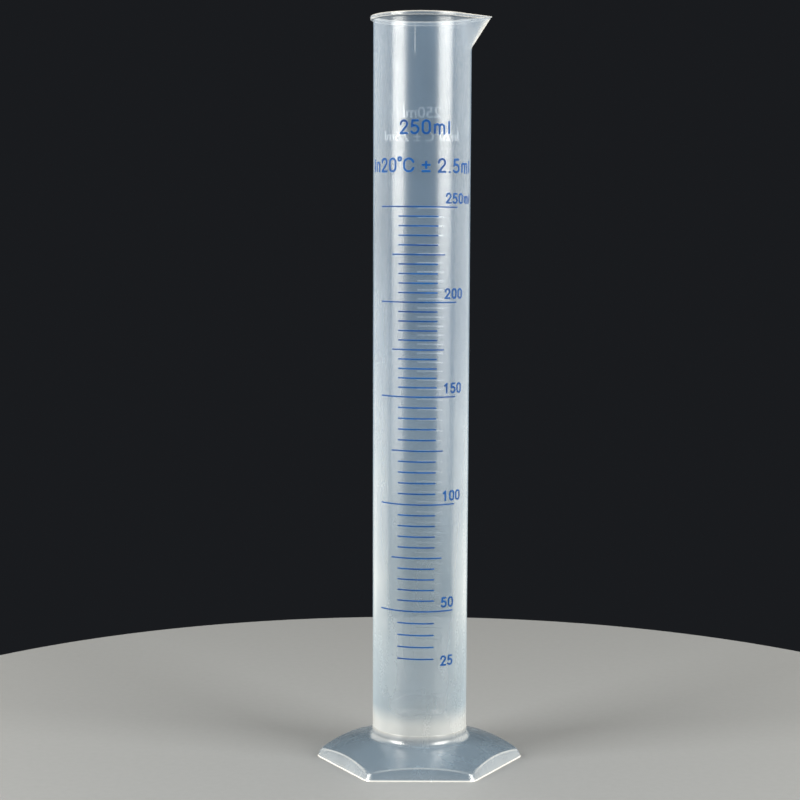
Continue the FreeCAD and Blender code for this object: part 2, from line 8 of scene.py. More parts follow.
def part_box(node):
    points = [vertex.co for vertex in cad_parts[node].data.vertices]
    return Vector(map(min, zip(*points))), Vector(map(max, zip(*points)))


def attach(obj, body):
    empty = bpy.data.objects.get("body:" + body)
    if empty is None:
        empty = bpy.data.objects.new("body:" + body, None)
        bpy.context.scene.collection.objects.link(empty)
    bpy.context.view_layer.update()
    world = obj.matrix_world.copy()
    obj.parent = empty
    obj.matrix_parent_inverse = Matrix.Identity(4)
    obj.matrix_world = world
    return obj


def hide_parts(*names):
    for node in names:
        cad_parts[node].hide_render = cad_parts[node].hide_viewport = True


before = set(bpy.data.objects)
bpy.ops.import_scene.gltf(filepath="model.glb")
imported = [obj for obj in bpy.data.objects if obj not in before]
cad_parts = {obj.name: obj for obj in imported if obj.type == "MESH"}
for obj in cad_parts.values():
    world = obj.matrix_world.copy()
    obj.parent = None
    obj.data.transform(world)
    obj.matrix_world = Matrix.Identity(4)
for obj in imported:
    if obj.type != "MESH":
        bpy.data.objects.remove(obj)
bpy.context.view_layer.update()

BODY = "root"
MM = 0.001

# ---------------------------------------------------------------- sizes, in metres and degrees

# Measuring tube. The rim's height is the CAD node's, and the rest repeat the CAD model's sizes.
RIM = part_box("measuring_tube")[1][2]
SEAT = 12.2 * MM
FLOOR = 14.8 * MM
TUBE_RADIUS_TOP = 21.2 * MM
TUBE_RADIUS_BOTTOM = 20.8 * MM
BORE_TOP = 19.95 * MM
BORE_MIDDLE = 19.75 * MM
BORE_MIDDLE_LEVEL = 195 * MM
BORE_FLOOR = 16.9 * MM
FLOOR_CORNER = 3.0 * MM
GATE_RADIUS = 1.6 * MM
GATE_LENGTH = 0.8 * MM

# Rim lip and spout, whose tip reaches as far as the CAD node does
LIP_HEIGHT = 1.8 * MM
LIP_HEIGHT_AT_TIP = 0.5 * MM
LIP_RADIUS = TUBE_RADIUS_TOP + 1.25 * MM
SPOUT_TIP_RADIUS = 1.6 * MM
SPOUT_TIP_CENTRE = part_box("measuring_tube")[1][0] - SPOUT_TIP_RADIUS
SPOUT_DROP = 14.4 * MM
SPOUT_WALL = 1.2 * MM
SPOUT_CIRCLE = TUBE_RADIUS_TOP - 0.625 * MM
CHANNEL_CIRCLE = BORE_TOP - SPOUT_WALL / 3
CHANNEL_TIP_RADIUS = SPOUT_TIP_RADIUS - SPOUT_WALL

# A hair added to the lip's radius, so that it stays outside the wall at the spout's tip
LIP_CLEARANCE = 0.001 * MM

# Foot
FOOT_HALF_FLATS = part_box("hexagonal_foot")[1][1]
FOOT_LEAN = math.tan(math.radians(22.5))
FOOT_CORNER = 4.9 * MM
FOOT_WALL = 2.4 * MM
CROWN_LEVEL = 10.4 * MM
SHOULDER_LEVEL = 4.75 * MM
COLLAR_TOP = 14.6 * MM
COLLAR_RADIUS = 21.0 * MM
SOCKET_RADIUS = 20.85 * MM
LEDGE_BOTTOM = 10.0 * MM
LEDGE_HOLE = 15.0 * MM
HOLLOW_RADIUS = 18.4 * MM

# Colourless marks moulded on the tube's back, and the scale's line places
RELIEF_HEIGHT = 0.3 * MM
RELIEF_ROOT = 0.1 * MM
RELIEF_LINE_HALF = 0.3 * MM
RELIEF_LINE_START = math.radians(62)
RELIEF_LINE_SWEEP = math.radians(32)
TOP_LINE = RIM - 81.9 * MM
FIRST_LINE = 48.6 * MM
PITCHES = [5.24 * MM] * 4 + [4.65 * MM] * 20 + [4.05 * MM] * 20

# Height of the font's capitals for a size of one
FONT_CAPITAL = 0.73

# Steps round a spun piece
ROUND_STEPS = 360

# How strongly bearings are drawn together at the spout, within its reach in degrees,
# and at the foot's corners
SPOUT_REACH = 60.0
SPOUT_POWER = 1.5
CORNER_POWER = 1.6

# ---------------------------------------------------------------- how cloudy the plastic is, and the highlights painted on it

TUBE_HAZE_BOTTOM = 0.37
TUBE_HAZE_TOP = 0.15
TUBE_HAZE_LEVELS = (30 * MM, 240 * MM)
FLOOR_MILK = 0.30
FLOOR_MILK_LEVELS = (FLOOR + 2.5 * MM, FLOOR + 12.0 * MM)
LIP_MILK = 0.1
FOOT_HAZE = 0.52
COLLAR_HAZE = 0.1
COLLAR_MILK = 0.42
# Painted highlights: pale paint over the colourless relief, and pale lines round the foot's base,
# faintly up its sides and down the spout's tip
RELIEF_HIGHLIGHT = 0.26
BASE_HIGHLIGHT = 0.6
SIDE_HIGHLIGHT = 0.05
KEEL_HIGHLIGHT = 0.4
KEEL_HIGHLIGHT_SPREAD = 7.0
FOOT_CORNER_SPREAD = 6.0

# The scratch: its place to the left of the middle, its core and edge, its ends and its strength
SCRATCH_OFFSET = 3.4 * MM
SCRATCH_CORE = 0.1 * MM
SCRATCH_EDGE = 0.4 * MM
SCRATCH_LOW_END = (RIM - 20 * MM, RIM - 16 * MM)
SCRATCH_HIGH_END = (RIM - 6 * MM, RIM - 4 * MM)
SCRATCH_MILK = 0.22


# ---------------------------------------------------------------- shaping


def arc_points(before, corner, after, radius, steps):
    """A corner of a section as steps points on its rounding, or as the corner itself."""
    if radius <= 0 or steps < 2:
        return [corner] * max(steps, 1)
    back = (before - corner).normalized()
    on = (after - corner).normalized()
    half = back.angle(on) / 2
    reach = min(radius / math.tan(half), (before - corner).length / 2, (after - corner).length / 2)
    radius = reach * math.tan(half)
    centre = corner + (back + on).normalized() * (radius / math.sin(half))
    start = corner + back * reach - centre
    end = corner + on * reach - centre
    sweep = math.pi - 2 * half
    if start.x * end.y - start.y * end.x < 0:
        sweep = -sweep
    turned = []
    for i in range(steps):
        turn = Matrix.Rotation(sweep * i / (steps - 1), 2)
        turned.append(centre + turn @ start)
    return turned


def rounded_section(corners, closed):
    """The stations of a section from its corners, each (radius, height, painted highlight).

    A corner is (radius, height, rounding, steps), then the painted highlight on the middle of its
    rounding and the smallest painted highlight anywhere on it, both 0 when left out. A painted
    highlight is a pale line that stands in for the light a rounding catches."""
    points = [Vector(c[:2]) for c in corners]
    section = []
    last = len(points) - 1
    for i, (_, _, rounding, steps, *highlights) in enumerate(corners):
        highlight_on_rounding, least = (highlights + [0.0, 0.0])[:2]
        if not closed and i in (0, last):
            section.append((*points[i], 0.0))
            continue
        after = points[(i + 1) % len(points)]
        turned = arc_points(points[i - 1], points[i], after, rounding, steps)
        for step, point in enumerate(turned):
            middle = math.sin(math.pi * step / (steps - 1)) if steps > 1 else 0.0
            section.append((*point, max(highlight_on_rounding * middle, least)))
    return section


def spun_piece(name, corners_at, closed, bearing, inside=(0, 0)):
    """A piece whose section changes with the bearing round the axis.

    A ring of plain stations is spun first, then each station moves to its place in the section.
    The faces between the two inside stations get the piece's second material."""
    count = len(rounded_section(corners_at(0.0), closed))
    shape = bmesh.new()
    station = shape.verts.layers.int.new("station")
    # Each point's painted highlight, taken from its section
    painted_highlight = shape.verts.layers.float.new("painted_highlight")
    verts = []
    for i in range(count):
        on_axis = not closed and i in (0, count - 1)
        vert = shape.verts.new((0.0 if on_axis else 1.0, 0.0, i / count))
        vert[station] = i
        verts.append(vert)
    pairs = list(zip(verts, verts[1:]))
    if closed:
        pairs.append((verts[-1], verts[0]))
    edges = [shape.edges.new(pair) for pair in pairs]
    bmesh.ops.spin(
        shape,
        geom=verts + edges,
        cent=(0, 0, 0),
        axis=(0, 0, 1),
        dvec=(0, 0, 0),
        angle=math.tau,
        steps=ROUND_STEPS,
        use_merge=True,
        use_duplicate=False,
    )
    bmesh.ops.remove_doubles(shape, verts=shape.verts, dist=1e-7)
    sections = {}
    for vert in shape.verts:
        turn = round(math.degrees(math.atan2(vert.co.y, vert.co.x)) * ROUND_STEPS / 360)
        angle = bearing(turn * 360 / ROUND_STEPS)
        if turn not in sections:
            sections[turn] = rounded_section(corners_at(angle), closed)
        radius, level, vert[painted_highlight] = sections[turn][vert[station]]
        direction = math.radians(angle)
        vert.co = (radius * math.cos(direction), radius * math.sin(direction), level)
    bmesh.ops.recalc_face_normals(shape, faces=shape.faces)
    for face in shape.faces:
        face.smooth = True
        stations = [vert[station] for vert in face.verts]
        face.material_index = int(min(stations) >= inside[0] and max(stations) < inside[1])
    mesh = bpy.data.meshes.new(name)
    shape.to_mesh(mesh)
    shape.free()
    return add_piece(name, mesh)


def add_piece(name, mesh):
    """An object for a mesh whose place is in its own points."""
    piece = bpy.data.objects.new(name, mesh)
    bpy.context.scene.collection.objects.link(piece)
    return piece


def teardrop_radius(angle, circle, tip_centre, tip_radius):
    """Distance from the axis to a circle drawn out to a rounded tip on +X."""
    away = math.radians(abs(angle))
    tangent = math.acos((circle - tip_radius) / tip_centre)
    if away >= tangent:
        return circle
    nose = math.atan2(tip_radius * math.sin(tangent), tip_centre + tip_radius * math.cos(tangent))
    if away > nose:
        return circle / math.cos(tangent - away)
    across = tip_centre * math.sin(away)
    return tip_centre * math.cos(away) + math.sqrt(tip_radius**2 - across**2)


def spout_bearing(angle):
    """Bearings drawn together towards the spout, where the tip needs them close."""
    if abs(angle) >= SPOUT_REACH:
        return angle
    return math.copysign(SPOUT_REACH * (abs(angle) / SPOUT_REACH) ** SPOUT_POWER, angle)


def tube_radius(level):
    """Outer radius of the tapering wall at a height."""
    share = (level - SEAT) / (RIM - SEAT)
    return TUBE_RADIUS_BOTTOM + (TUBE_RADIUS_TOP - TUBE_RADIUS_BOTTOM) * share


def bore_radius(level):
    """Radius of the bore at a height."""
    if level >= BORE_MIDDLE_LEVEL:
        share = (level - BORE_MIDDLE_LEVEL) / (RIM - BORE_MIDDLE_LEVEL)
        return BORE_MIDDLE + (BORE_TOP - BORE_MIDDLE) * share
    share = (level - FLOOR) / (BORE_MIDDLE_LEVEL - FLOOR)
    return BORE_FLOOR + (BORE_MIDDLE - BORE_FLOOR) * share


def outer_radius(angle, level):
    """Outside of the wall or of the spout, whichever is further out."""
    share = (level - (RIM - SPOUT_DROP)) / SPOUT_DROP
    if share <= 0:
        return tube_radius(level)
    mouth = teardrop_radius(angle, SPOUT_CIRCLE, SPOUT_TIP_CENTRE, SPOUT_TIP_RADIUS)
    return max(tube_radius(level), SPOUT_CIRCLE + (mouth - SPOUT_CIRCLE) * share)


def inner_radius(angle, level):
    """Inside of the wall or of the spout's channel, whichever is further out."""
    drop = SPOUT_DROP - SPOUT_WALL
    share = (level - (RIM - drop)) / drop
    if share <= 0:
        return bore_radius(level)
    mouth = teardrop_radius(angle, CHANNEL_CIRCLE, SPOUT_TIP_CENTRE, CHANNEL_TIP_RADIUS)
    return max(bore_radius(level), CHANNEL_CIRCLE + (mouth - CHANNEL_CIRCLE) * share)


def even_levels(low, high, count):
    """count levels strictly between low and high."""
    return [low + (high - low) * (i + 1) / (count + 1) for i in range(count)]


def outside_corners(angle):
    """The tube's outside at a bearing, from under its floor to the top of its lip.

    The lip thins towards the tip of the spout."""
    lip = teardrop_radius(angle, LIP_RADIUS, SPOUT_TIP_CENTRE, SPOUT_TIP_RADIUS)
    drawn_out = (lip - LIP_RADIUS) / (SPOUT_TIP_CENTRE + SPOUT_TIP_RADIUS - LIP_RADIUS)
    lip_height = LIP_HEIGHT + (LIP_HEIGHT_AT_TIP - LIP_HEIGHT) * drawn_out
    lip_bottom = RIM - lip_height
    spout_root = RIM - SPOUT_DROP
    corners = [
        (0.0, SEAT - GATE_LENGTH, 0, 1),
        (GATE_RADIUS, SEAT - GATE_LENGTH, 0.3 * MM, 4),
        (GATE_RADIUS, SEAT, 0.3 * MM, 4),
        # A painted highlight ring round the seat's rounding
        (TUBE_RADIUS_BOTTOM, SEAT, 0.6 * MM, 6, 0.6),
    ]
    for level in even_levels(SEAT, spout_root, 9) + [spout_root]:
        corners.append((outer_radius(angle, level), level, 0, 1))
    # A painted highlight line down the spout's tip, strongest right at its bearing
    keel_highlight = KEEL_HIGHLIGHT * math.exp(-((angle / KEEL_HIGHLIGHT_SPREAD) ** 2))
    for level in even_levels(spout_root, lip_bottom, 10):
        corners.append((outer_radius(angle, level), level, 0, 1, 0.0, keel_highlight))
    corners += [
        (outer_radius(angle, lip_bottom), lip_bottom, 0.3 * MM, 4),
        # Painted highlight lines round the lip's outer roundings
        (lip + LIP_CLEARANCE, lip_bottom, 0.25 * lip_height, 6, 0.45),
        (lip + LIP_CLEARANCE, RIM, 0.3 * lip_height, 7, 0.55),
    ]
    return corners


def inside_corners(angle):
    """The tube's inside at a bearing, from the rim down the bore to the middle of the floor."""
    # A painted highlight line round the rim's inner rounding
    corners = [(inner_radius(angle, RIM), RIM, 0.4 * MM, 6, 0.5)]
    channel_root = RIM - SPOUT_DROP + SPOUT_WALL
    for level in reversed(even_levels(channel_root, RIM - 1.0 * MM, 10)):
        corners.append((inner_radius(angle, level), level, 0, 1))
    corners.append((bore_radius(channel_root), channel_root, 0, 1))
    for level in reversed(even_levels(BORE_MIDDLE_LEVEL, channel_root, 3)):
        corners.append((bore_radius(level), level, 0, 1))
    corners.append((BORE_MIDDLE, BORE_MIDDLE_LEVEL, 0, 1))
    for level in reversed(even_levels(FLOOR + FLOOR_CORNER * 2, BORE_MIDDLE_LEVEL, 6)):
        corners.append((bore_radius(level), level, 0, 1))
    corners += [
        # A faint painted highlight ring round the floor's rounded corner
        (BORE_FLOOR, FLOOR, FLOOR_CORNER, 10, 0.15),
        (BORE_FLOOR / 2, FLOOR, 0, 1),
        (0.0, FLOOR, 0, 1),
    ]
    return corners


def tube_corners(angle):
    """The tube's section at a bearing, from under its floor round the rim to the floor's middle."""
    return outside_corners(angle) + inside_corners(angle)


def station_count(corners):
    """How many points a run of corners gives a section."""
    return sum(max(corner[3], 1) for corner in corners)


def hexagon_radius(angle, half_flats, corner):
    """Distance from the axis to a six-sided outline with rounded corners, one of them on +X."""
    from_corner = math.radians(abs((angle + 30) % 60 - 30))
    from_flat = math.radians(30) - from_corner
    half_side = (half_flats - corner) * math.tan(math.radians(30))
    if from_flat <= math.atan2(half_side, half_flats):
        return half_flats / math.cos(from_flat)
    centre = (half_flats - corner) / math.cos(math.radians(30))
    across = centre * math.sin(from_corner)
    return centre * math.cos(from_corner) + math.sqrt(corner**2 - across**2)


def corner_bearing(angle):
    """Bearings drawn together towards the foot's six corners."""
    from_corner = (angle + 30) % 60 - 30
    moved = math.copysign(30 * (abs(from_corner) / 30) ** CORNER_POWER, from_corner)
    return angle - from_corner + moved


def crown_height(radius):
    """Height of the foot's sloping crown at a distance from the axis."""
    fall = (CROWN_LEVEL - SHOULDER_LEVEL) / (FOOT_HALF_FLATS - TUBE_RADIUS_BOTTOM)
    return CROWN_LEVEL - fall * (radius - TUBE_RADIUS_BOTTOM)


def shoulder(angle, half_flats, corner, below):
    """Where a leaning side meets the crown, or a surface a little below it."""
    level = SHOULDER_LEVEL
    for _ in range(6):
        radius = hexagon_radius(angle, half_flats - FOOT_LEAN * level, corner)
        level = crown_height(radius) - below
    return radius, level


def foot_corners(angle):
    """The foot's closed section at a bearing, from its outer bottom corner over the crown and back
    below.

    At the six corners the shoulder is rounder and its painted highlight line fades."""
    inner_flats = FOOT_HALF_FLATS - FOOT_WALL
    inner_corner = FOOT_CORNER - FOOT_WALL
    outer = shoulder(angle, FOOT_HALF_FLATS, FOOT_CORNER, 0.0)
    inner = shoulder(angle, inner_flats, inner_corner, FOOT_WALL)
    hollow_edge = crown_height(HOLLOW_RADIUS) - FOOT_WALL
    from_corner = (angle + 30) % 60 - 30
    near_corner = math.exp(-((from_corner / FOOT_CORNER_SPREAD) ** 2))
    rounding = (1.3 + 1.9 * near_corner) * MM
    shoulder_highlight = 0.18 - 0.14 * near_corner
    bottom = hexagon_radius(angle, FOOT_HALF_FLATS, FOOT_CORNER)
    # Painted highlight lines round the bottom of the foot's sides, and faintly up them
    corners = [(bottom, 0.0, 0.35 * MM, 7, 0.9, BASE_HIGHLIGHT)]
    for level, mark in ((0.42 * MM, BASE_HIGHLIGHT), (0.8 * MM, SIDE_HIGHLIGHT)):
        radius = hexagon_radius(angle, FOOT_HALF_FLATS - FOOT_LEAN * level, FOOT_CORNER)
        corners.append((radius, level, 0, 1, 0.0, mark))
    corners += [
        # Painted highlight lines along the shoulder, faintly round the fillet and round the
        # collar's top
        (*outer, rounding, 9, shoulder_highlight, 0.0),
        (COLLAR_RADIUS, crown_height(COLLAR_RADIUS), 3.0 * MM, 12, 0.07, 0.0),
        (COLLAR_RADIUS, COLLAR_TOP, 0.05 * MM, 3, 0.3),
        (SOCKET_RADIUS, COLLAR_TOP, 0, 1),
        (SOCKET_RADIUS, SEAT, 0, 1),
        (LEDGE_HOLE, SEAT, 0.3 * MM, 4),
        (LEDGE_HOLE, LEDGE_BOTTOM, 0.3 * MM, 4),
        (HOLLOW_RADIUS, LEDGE_BOTTOM, 0.5 * MM, 5),
        (HOLLOW_RADIUS, hollow_edge, 0.5 * MM, 5),
        (*inner, 0.8 * MM, 6),
        # A painted highlight line round the inner bottom
        (hexagon_radius(angle, inner_flats, inner_corner), 0.0, 0.35 * MM, 5, 0.5),
    ]
    return corners


# ---------------------------------------------------------------- materials


def new_material(name):
    """A node material with its Principled shader and its node tree."""
    material = bpy.data.materials.new(name)
    material.use_nodes = True
    tree = material.node_tree
    shader = next(n for n in tree.nodes if n.type == "BSDF_PRINCIPLED")
    return material, tree, shader


def node(tree, kind, **values):
    """A node with some of its settings and inputs filled in."""
    made = tree.nodes.new(kind)
    for key, value in values.items():
        if hasattr(made, key):
            setattr(made, key, value)
        else:
            made.inputs[key.replace("_", " ")].default_value = value
    return made


def ramp(tree, source, low, high, to_low=0.0, to_high=1.0, smooth=False):
    """A Map Range from low..high to to_low..to_high."""
    made = tree.nodes.new("ShaderNodeMapRange")
    made.interpolation_type = "SMOOTHSTEP" if smooth else "LINEAR"
    tree.links.new(source, made.inputs["Value"])
    made.inputs["From Min"].default_value = low
    made.inputs["From Max"].default_value = high
    made.inputs["To Min"].default_value = to_low
    made.inputs["To Max"].default_value = to_high
    return made.outputs["Result"]


def maths(tree, operation, first, second, clamp=False):
    """A Math node on two sockets or numbers."""
    made = tree.nodes.new("ShaderNodeMath")
    made.operation = operation
    made.use_clamp = clamp
    for into, value in zip(made.inputs, (first, second)):
        if isinstance(value, (int, float)):
            into.default_value = value
        else:
            tree.links.new(value, into)
    return made.outputs[0]


def plastic_group():
    """Cloudy moulded polypropylene: its colour, haze, roughness and surface height."""
    group = bpy.data.node_groups.new("cloudy_moulding", "ShaderNodeTree")
    face = group.interface
    face.new_socket("Place", in_out="INPUT", socket_type="NodeSocketVector")
    for name in ("Thin", "Thick", "Solid Colour"):
        face.new_socket(name, in_out="INPUT", socket_type="NodeSocketColor")
    for name in ("Haze", "Milk And Highlight", "Grain"):
        face.new_socket(name, in_out="INPUT", socket_type="NodeSocketFloat")
    face.new_socket("Colour", in_out="OUTPUT", socket_type="NodeSocketColor")
    for name in ("Haze", "Roughness", "Height"):
        face.new_socket(name, in_out="OUTPUT", socket_type="NodeSocketFloat")
    start = group.nodes.new("NodeGroupInput")
    end = group.nodes.new("NodeGroupOutput")
    stretch = node(group, "ShaderNodeVectorMath", operation="MULTIPLY")
    stretch.inputs[1].default_value = (1.0, 1.0, 0.22)
    group.links.new(start.outputs["Place"], stretch.inputs[0])
    flow = node(group, "ShaderNodeTexNoise", Scale=90.0, Detail=3.0, Roughness=0.5)
    group.links.new(stretch.outputs[0], flow.inputs["Vector"])
    cloud = node(group, "ShaderNodeTexNoise", Scale=38.0, Detail=2.0, Roughness=0.5)
    group.links.new(start.outputs["Place"], cloud.inputs["Vector"])
    fine = node(group, "ShaderNodeTexNoise", Scale=1500.0, Detail=2.0, Roughness=0.6)
    group.links.new(start.outputs["Place"], fine.inputs["Vector"])
    speck = node(group, "ShaderNodeTexVoronoi", Scale=420.0)
    group.links.new(start.outputs["Place"], speck.inputs["Vector"])
    specks = ramp(group, speck.outputs["Distance"], 0.05, 0.14, 1.0, 0.0)
    specks = maths(group, "MULTIPLY", specks, ramp(group, fine.outputs["Fac"], 0.52, 0.6))
    patchy = maths(group, "ADD", flow.outputs["Fac"], cloud.outputs["Fac"])
    patchy = ramp(group, patchy, 0.7, 1.3, 0.86, 1.14)
    haze = maths(group, "MULTIPLY", start.outputs["Haze"], patchy)
    haze = maths(group, "ADD", haze, maths(group, "MULTIPLY", specks, 0.06), clamp=True)
    wall = node(group, "ShaderNodeMix", data_type="RGBA")
    group.links.new(ramp(group, haze, 0.17, 0.36), wall.inputs["Factor"])
    group.links.new(start.outputs["Thin"], wall.inputs[6])
    group.links.new(start.outputs["Thick"], wall.inputs[7])
    # Towards the milky colour where the plastic is milky, and where highlights are painted
    mixed = node(group, "ShaderNodeMix", data_type="RGBA")
    group.links.new(ramp(group, start.outputs["Milk And Highlight"], 0.0, 0.5), mixed.inputs["Factor"])
    group.links.new(wall.outputs[2], mixed.inputs[6])
    group.links.new(start.outputs["Solid Colour"], mixed.inputs[7])
    rough = ramp(group, flow.outputs["Fac"], 0.3, 0.7, 0.19, 0.27)
    rough = maths(group, "ADD", rough, maths(group, "MULTIPLY", fine.outputs["Fac"], 0.04))
    height = maths(group, "MULTIPLY", fine.outputs["Fac"], start.outputs["Grain"])
    height = maths(group, "ADD", height, maths(group, "MULTIPLY", flow.outputs["Fac"], 4.0))
    group.links.new(mixed.outputs[2], end.inputs["Colour"])
    group.links.new(haze, end.inputs["Haze"])
    group.links.new(rough, end.inputs["Roughness"])
    group.links.new(height, end.inputs["Height"])
    return group


def plastic(name, group, haze_of, solid_of, colours, growth, gloss_index):
    """A see-through plastic.

    Its haze is multiplied by growth where it's seen at a grazing angle, and its solid parts and the
    painted highlights on its roundings turn pale and hide what's behind them."""
    material, tree, shader = new_material(name)
    place = node(tree, "ShaderNodeTexCoord").outputs["Object"]
    body = tree.nodes.new("ShaderNodeGroup")
    body.node_tree = group
    tree.links.new(place, body.inputs["Place"])
    for into, colour in zip(("Thin", "Thick", "Solid Colour"), colours):
        body.inputs[into].default_value = (*colour, 1.0)
    body.inputs["Grain"].default_value = 0.5
    tree.links.new(haze_of(tree, place), body.inputs["Haze"])
    # The painted highlight is added to the milky parts, so it shows pale and hides what's behind it
    painted_highlight = node(tree, "ShaderNodeAttribute", attribute_name="painted_highlight").outputs["Fac"]
    solid = maths(tree, "ADD", solid_of(tree, place), painted_highlight)
    tree.links.new(solid, body.inputs["Milk And Highlight"])
    aslant = node(tree, "ShaderNodeLayerWeight", Blend=0.5)
    grown = ramp(tree, aslant.outputs["Facing"], 0.0, 1.0, 1.0, growth)
    alpha = maths(tree, "MULTIPLY", body.outputs["Haze"], grown)
    alpha = maths(tree, "ADD", alpha, solid, clamp=True)
    rise = node(tree, "ShaderNodeBump", Strength=0.15, Distance=0.04 * MM)
    tree.links.new(body.outputs["Height"], rise.inputs["Height"])
    tree.links.new(body.outputs["Colour"], shader.inputs["Base Color"])
    tree.links.new(body.outputs["Roughness"], shader.inputs["Roughness"])
    tree.links.new(alpha, shader.inputs["Alpha"])
    tree.links.new(rise.outputs["Normal"], shader.inputs["Normal"])
    shader.inputs["IOR"].default_value = gloss_index
    return material


def height_of(tree, place):
    """The height of a point, from its place."""
    level = node(tree, "ShaderNodeSeparateXYZ")
    tree.links.new(place, level.inputs[0])
    return level.outputs["Z"]


def tube_haze(tree, place):
    """The tube's haze: more in its thicker lower wall."""
    height = height_of(tree, place)
    return ramp(tree, height, *TUBE_HAZE_LEVELS, TUBE_HAZE_BOTTOM, TUBE_HAZE_TOP, smooth=True)


def scratch(tree, place):
    """A faint upright scratch on the front of the wall, just under the lip."""
    parts = node(tree, "ShaderNodeSeparateXYZ")
    tree.links.new(place, parts.inputs[0])
    offset = maths(tree, "ADD", parts.outputs["X"], SCRATCH_OFFSET)
    across = maths(tree, "ABSOLUTE", offset, 0.0)
    mark = ramp(tree, across, SCRATCH_CORE, SCRATCH_EDGE, SCRATCH_MILK, 0.0)
    above = ramp(tree, parts.outputs["Z"], *SCRATCH_LOW_END)
    below = ramp(tree, parts.outputs["Z"], *SCRATCH_HIGH_END, 1.0, 0.0)
    in_front = ramp(tree, parts.outputs["Y"], -10 * MM, -9 * MM, 1.0, 0.0)
    for limit in (above, below, in_front):
        mark = maths(tree, "MULTIPLY", mark, limit)
    return mark


def tube_solid(tree, place):
    """Where the tube looks milky: over its solid floor, at its lip and along a scratch."""
    height = height_of(tree, place)
    floor = ramp(tree, height, *FLOOR_MILK_LEVELS, FLOOR_MILK, 0.0, smooth=True)
    lip_bottom = RIM - LIP_HEIGHT
    lip = ramp(tree, height, lip_bottom, lip_bottom + 0.3 * MM, 0.0, LIP_MILK)
    return maths(tree, "ADD", maths(tree, "ADD", floor, lip), scratch(tree, place))


def foot_haze(tree, place):
    """The foot's haze, which fades out up its thin collar."""
    height = height_of(tree, place)
    return ramp(tree, height, CROWN_LEVEL, COLLAR_TOP, FOOT_HAZE, COLLAR_HAZE, smooth=True)


def foot_solid(tree, place):
    """The milky collar, which the bottom of the tube shows through."""
    height = height_of(tree, place)
    return ramp(tree, height, CROWN_LEVEL + 0.5 * MM, COLLAR_TOP, 0.0, COLLAR_MILK)


def ink_material():
    """Blue screen-printing ink, a little uneven where the plastic shows through."""
    material, tree, shader = new_material("printed_ink")
    place = node(tree, "ShaderNodeTexCoord").outputs["Object"]
    patch = node(tree, "ShaderNodeTexNoise", Scale=900.0, Detail=4.0, Roughness=0.6)
    tree.links.new(place, patch.inputs["Vector"])
    broad = node(tree, "ShaderNodeTexNoise", Scale=60.0, Detail=2.0)
    tree.links.new(place, broad.inputs["Vector"])
    colours = node(tree, "ShaderNodeMix", data_type="RGBA")
    colours.inputs[6].default_value = (0.003, 0.042, 0.21, 1.0)
    colours.inputs[7].default_value = (0.006, 0.11, 0.40, 1.0)
    uneven = maths(tree, "MULTIPLY", patch.outputs["Fac"], 0.7)
    share = maths(tree, "ADD", uneven, broad.outputs["Fac"])
    tree.links.new(ramp(tree, share, 0.6, 1.1), colours.inputs["Factor"])
    tree.links.new(colours.outputs[2], shader.inputs["Base Color"])
    rough = ramp(tree, patch.outputs["Fac"], 0.3, 0.7, 0.35, 0.55)
    tree.links.new(rough, shader.inputs["Roughness"])
    shader.inputs["Specular IOR Level"].default_value = 0.2
    rise = node(tree, "ShaderNodeBump", Strength=0.3, Distance=0.03 * MM)
    tree.links.new(patch.outputs["Fac"], rise.inputs["Height"])
    tree.links.new(rise.outputs["Normal"], shader.inputs["Normal"])
    return material


def floor_material():
    """A plain pale table top."""
    material, tree, shader = new_material("pale_table")
    place = node(tree, "ShaderNodeTexCoord").outputs["Object"]
    grain = node(tree, "ShaderNodeTexNoise", Scale=300.0, Detail=3.0)
    tree.links.new(place, grain.inputs["Vector"])
    colours = node(tree, "ShaderNodeMix", data_type="RGBA")
    colours.inputs[6].default_value = (0.35, 0.365, 0.385, 1.0)
    colours.inputs[7].default_value = (0.385, 0.40, 0.42, 1.0)
    tree.links.new(grain.outputs["Fac"], colours.inputs["Factor"])
    tree.links.new(colours.outputs[2], shader.inputs["Base Color"])
    shader.inputs["Roughness"].default_value = 0.55
    return material


# ---------------------------------------------------------------- the object

group = plastic_group()
# The colours of thin wall, thick wall and milky plastic
TUBE_COLOURS = ((0.32, 0.46, 0.64), (0.36, 0.46, 0.55), (0.84, 0.82, 0.78))
# The foot's thin and thick colours are darker than the same plastic's in the tube: painted shade
# for the shadow in and under the foot
FOOT_SHADED_COLOURS = ((0.23, 0.33, 0.44), (0.24, 0.33, 0.43), (0.86, 0.86, 0.84))
# The last two numbers are how much the haze grows edge on, and the index that sets the gloss
TUBE_MAKE = (group, tube_haze, tube_solid, TUBE_COLOURS)
FOOT_MAKE = (group, foot_haze, foot_solid, FOOT_SHADED_COLOURS)
tube_outside = plastic("cloudy_tube_outside", *TUBE_MAKE, 3.2, 3.0)
tube_inside = plastic("cloudy_tube_inside", *TUBE_MAKE, 0.1, 2.2)
foot_outside = plastic("cloudy_foot_outside", *FOOT_MAKE, 1.3, 2.6)
foot_inside = plastic("cloudy_foot_inside", *FOOT_MAKE, 0.6, 2.0)

outside = station_count(outside_corners(0.0))
whole = outside + station_count(inside_corners(0.0))
tube = spun_piece("tube_moulding", tube_corners, False, spout_bearing, (outside, whole))
tube.data.materials.append(tube_outside)
tube.data.materials.append(tube_inside)
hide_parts("measuring_tube")
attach(tube, BODY)

# The first seven corners of the foot's section, up to the socket's mouth, are outside
top_side = station_count(foot_corners(0.0)[:7])
whole = station_count(foot_corners(0.0))
foot = spun_piece("foot_moulding", foot_corners, True, corner_bearing, (top_side, whole))
foot.data.materials.append(foot_outside)
foot.data.materials.append(foot_inside)
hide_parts("hexagonal_foot")
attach(foot, BODY)


